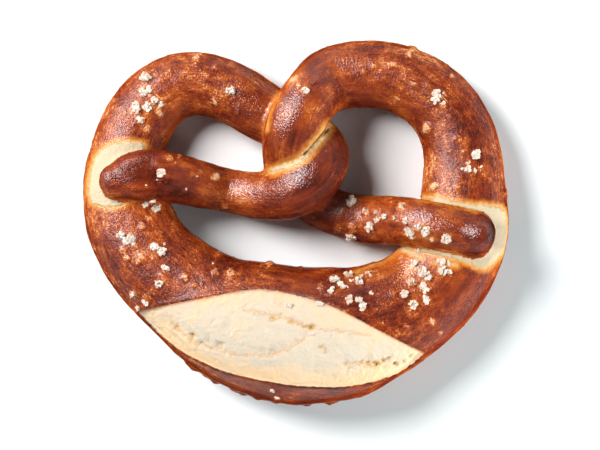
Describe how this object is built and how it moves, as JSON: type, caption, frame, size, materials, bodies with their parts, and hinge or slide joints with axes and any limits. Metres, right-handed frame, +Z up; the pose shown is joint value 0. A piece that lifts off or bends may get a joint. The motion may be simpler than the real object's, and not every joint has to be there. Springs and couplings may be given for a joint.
{
  "type": "soft pretzel",
  "caption": "Soft pretzel: one rope of lye dough, thick at the slashed belly, looped, twisted once and pressed back on to itself, baked flat underneath and topped with coarse salt.",
  "frame": {"origin": "middle of the bounding box on the flat underside, where the pretzel lies on the tray", "axes": "+X from the left lobe to the right lobe, +Y from the slashed belly towards the two lobes, +Z up out of the tray"},
  "size_m": [0.1535, 0.1314, 0.0342],
  "materials": {
    "lye_crust": "satin red-brown baked crust"
  },
  "bodies": {
    "root": {"pretzel": "lye_crust"}
  },
  "joints": []
}
